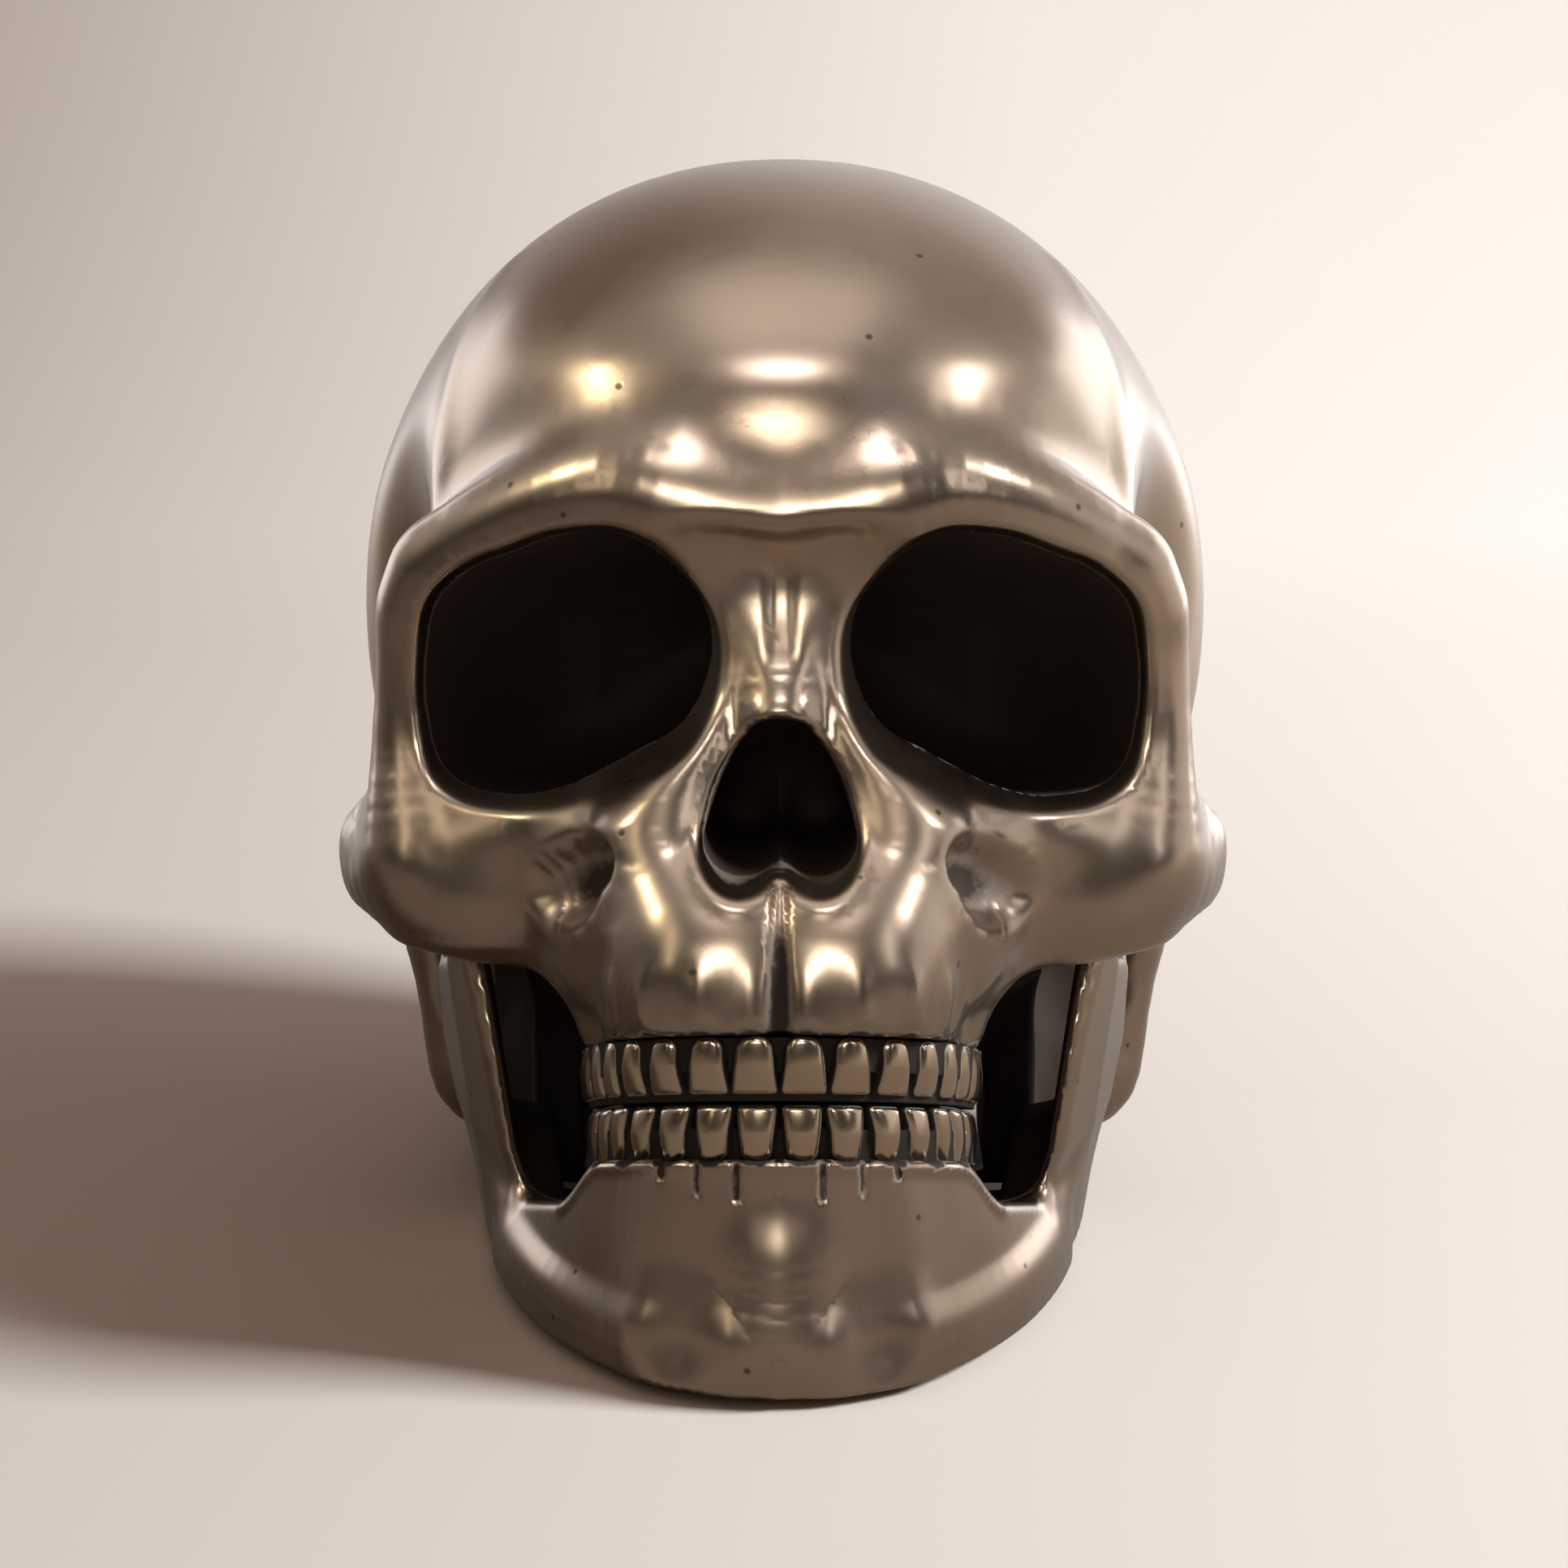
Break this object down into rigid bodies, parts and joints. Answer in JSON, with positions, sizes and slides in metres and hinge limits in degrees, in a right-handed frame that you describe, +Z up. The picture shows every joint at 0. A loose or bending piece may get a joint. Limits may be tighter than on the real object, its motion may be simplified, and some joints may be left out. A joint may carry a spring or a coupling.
{
  "type": "halloween skull decoration",
  "caption": "Life-size human skull in a polished bronze-look resin, with deep eye sockets, separate rows of teeth and a lower jaw that swings open on hinge screws.",
  "frame": {"origin": "on the table under the middle of the skull: x in the plane of symmetry, y half way from chin to back of the head", "axes": "+Z up, -Y the way the face looks, +X to the right of somebody who faces the skull"},
  "size_m": [0.1469, 0.206, 0.1766],
  "materials": {
    "bronze_casting": "solid cast resin with a polished bronze-look metallised surface, dark brown in the hollows",
    "tooth_casting": "cast resin with the same bronze-look surface",
    "steel": "turned steel",
    "brass": "turned brass",
    "nylon": "natural nylon",
    "cover_plastic": "dark brown moulded plate",
    "felt": "black felt"
  },
  "bodies": {
    "skull": {"cranium": "bronze_casting", "upper_teeth": "tooth_casting", "jaw_screw_left": "steel", "jaw_screw_right": "steel", "jaw_washer_left": "nylon", "jaw_washer_right": "nylon", "jaw_insert_left": "brass", "jaw_insert_right": "brass", "base_cover": "cover_plastic", "cover_screw_1": "steel", "cover_screw_2": "steel", "cover_screw_3": "steel", "cover_felt": "felt"},
    "jaw": {"lower_jaw": "bronze_casting", "lower_teeth": "tooth_casting", "jaw_felt_1": "felt", "jaw_felt_2": "felt", "jaw_felt_3": "felt", "jaw_felt_4": "felt"}
  },
  "joints": [
    {"name": "jaw_hinge", "type": "hinge", "parent": "skull", "child": "jaw", "pos_m": [0, 0.00051, 0.05245], "axis": [1, 0, 0], "range_deg": [0, 20]}
  ]
}
